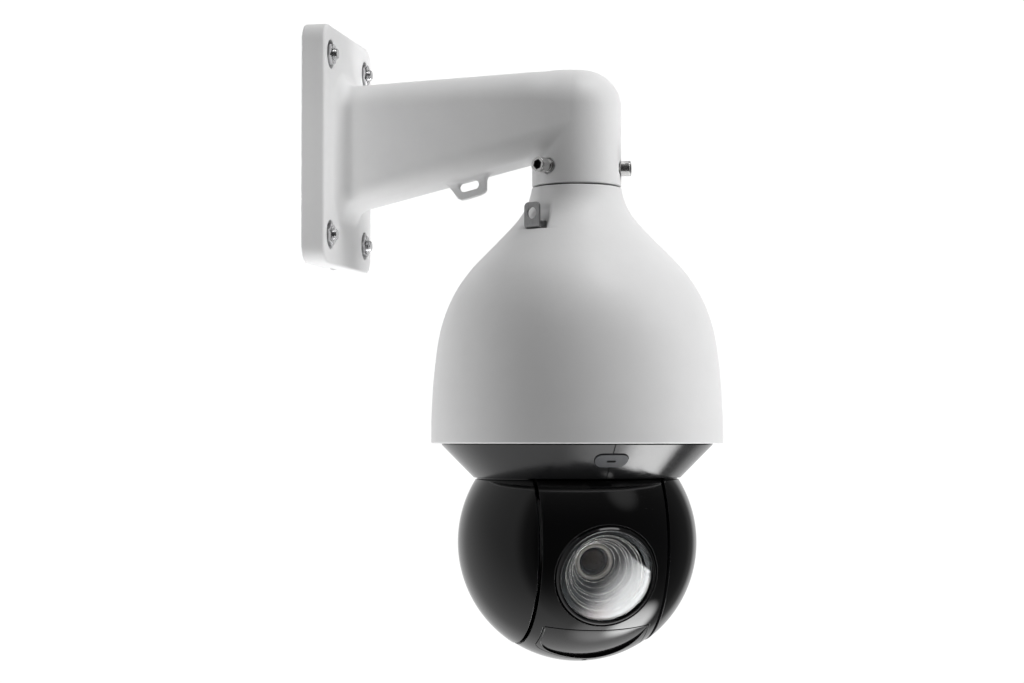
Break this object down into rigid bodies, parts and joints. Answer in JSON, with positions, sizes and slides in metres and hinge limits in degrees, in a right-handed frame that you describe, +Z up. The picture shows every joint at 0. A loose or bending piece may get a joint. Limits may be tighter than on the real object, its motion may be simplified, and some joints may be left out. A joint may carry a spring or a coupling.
{
  "type": "ptz camera",
  "caption": "Wall-mounted pan/tilt/zoom dome camera: white bracket arm and bell housing over a glossy black ball with lens and illuminator window.",
  "frame": {"origin": "centre of the wall plate's back face", "axes": "+X out of the wall along the arm, +Z up; the pan axis is vertical at x 166 mm"},
  "size_m": [0.259, 0.186, 0.4039],
  "materials": {
    "white_paint": "satin powder coat, fine texture",
    "black_gloss": "high gloss moulded",
    "dark_satin": "satin moulded",
    "cap_grey": "soft rubber-like cap",
    "stainless": "stainless, machined",
    "zinc_steel": "zinc plated",
    "bare_aluminium": "die cast or turned",
    "black_rubber": "matte",
    "lens_glass": "coated optical glass",
    "ir_window_gloss": "infrared-passing window, mirror gloss",
    "circuit_board": "solder mask",
    "lens_metal": "turned ring"
  },
  "bodies": {
    "root": {"wall_bracket": "white_paint", "neck_seal": "black_rubber", "neck_adapter": "bare_aluminium", "cable_gland": "dark_satin", "bell_housing": "white_paint", "safety_tab": "stainless", "safety_tab_screw": "stainless", "chassis_plate": "bare_aluminium", "main_board": "circuit_board", "pan_motor": "dark_satin", "pan_belt": "black_rubber", "pan_bearing": "stainless", "slip_ring": "dark_satin", "skirt_left_half": "dark_satin", "skirt_right_half": "dark_satin", "skirt_cap_front": "cap_grey", "skirt_cap_rear": "cap_grey", "wall_stud_1": "zinc_steel", "wall_nut_1": "zinc_steel", "wall_washer_1": "zinc_steel", "wall_stud_2": "zinc_steel", "wall_nut_2": "zinc_steel", "wall_washer_2": "zinc_steel", "wall_stud_3": "zinc_steel", "wall_nut_3": "zinc_steel", "wall_washer_3": "zinc_steel", "wall_stud_4": "zinc_steel", "wall_nut_4": "zinc_steel", "wall_washer_4": "zinc_steel", "collar_screw_1": "stainless", "collar_screw_2": "stainless", "collar_screw_3": "stainless"},
    "pan": {"pan_yoke": "bare_aluminium", "pan_pulley": "dark_satin", "left_cover": "black_gloss", "tilt_bearing_left": "stainless", "right_cover": "black_gloss", "tilt_bearing_right": "stainless", "tilt_motor": "dark_satin", "tilt_belt": "black_rubber"},
    "tilt": {"module_front_cover": "black_gloss", "module_rear_cover": "black_gloss", "cover_screw": "dark_satin", "tilt_axle_left": "stainless", "tilt_axle_right": "stainless", "tilt_pulley": "dark_satin", "module_frame": "zinc_steel", "lens_bezel": "black_gloss", "lens_window": "lens_glass", "lens_barrel": "dark_satin", "lens_front_element": "lens_glass", "camera_block": "dark_satin", "sensor_board": "circuit_board", "ir_window": "ir_window_gloss", "ir_board": "circuit_board"},
    "pan_drive": {"pan_motor_pulley": "bare_aluminium"},
    "tilt_drive": {"tilt_motor_pulley": "bare_aluminium"},
    "zoom": {"zoom_group": "lens_metal"},
    "focus": {"focus_group": "bare_aluminium"},
    "filter": {"ir_cut_filter": "lens_glass"}
  },
  "joints": [
    {"name": "pan", "type": "hinge", "parent": "root", "child": "pan", "pos_m": [0.166, 0, -0.2524], "axis": [0, 0, 1], "continuous": true},
    {"name": "tilt", "type": "hinge", "parent": "pan", "child": "tilt", "pos_m": [0.166, 0, -0.2524], "axis": [0.9063, 0.4226, 0], "range_deg": [-30.5, 74.5]},
    {"name": "pan_motor_spin", "type": "hinge", "parent": "root", "child": "pan_drive", "pos_m": [0.166, 0.06, -0.1594], "axis": [0, 0, 1], "continuous": true},
    {"name": "tilt_motor_spin", "type": "hinge", "parent": "pan", "child": "tilt_drive", "pos_m": [0.166, 0, -0.2794], "axis": [0.9063, 0.4226, 0], "range_deg": [-90, 215]},
    {"name": "zoom_slide", "type": "slide", "parent": "tilt", "child": "zoom", "axis": [0.4072, -0.8733, -0.2672], "range_m": [-0.014, 0]},
    {"name": "focus_slide", "type": "slide", "parent": "tilt", "child": "focus", "axis": [0.4072, -0.8733, -0.2672], "range_m": [0, 0.01]},
    {"name": "filter_slide", "type": "slide", "parent": "tilt", "child": "filter", "axis": [0.9063, 0.4226, 0], "range_m": [-0.009, 0]}
  ],
  "couplings": [
    {"joint": "pan_motor_spin", "follows": "pan", "ratio": 5},
    {"joint": "tilt_motor_spin", "follows": "tilt", "ratio": 2.8}
  ]
}
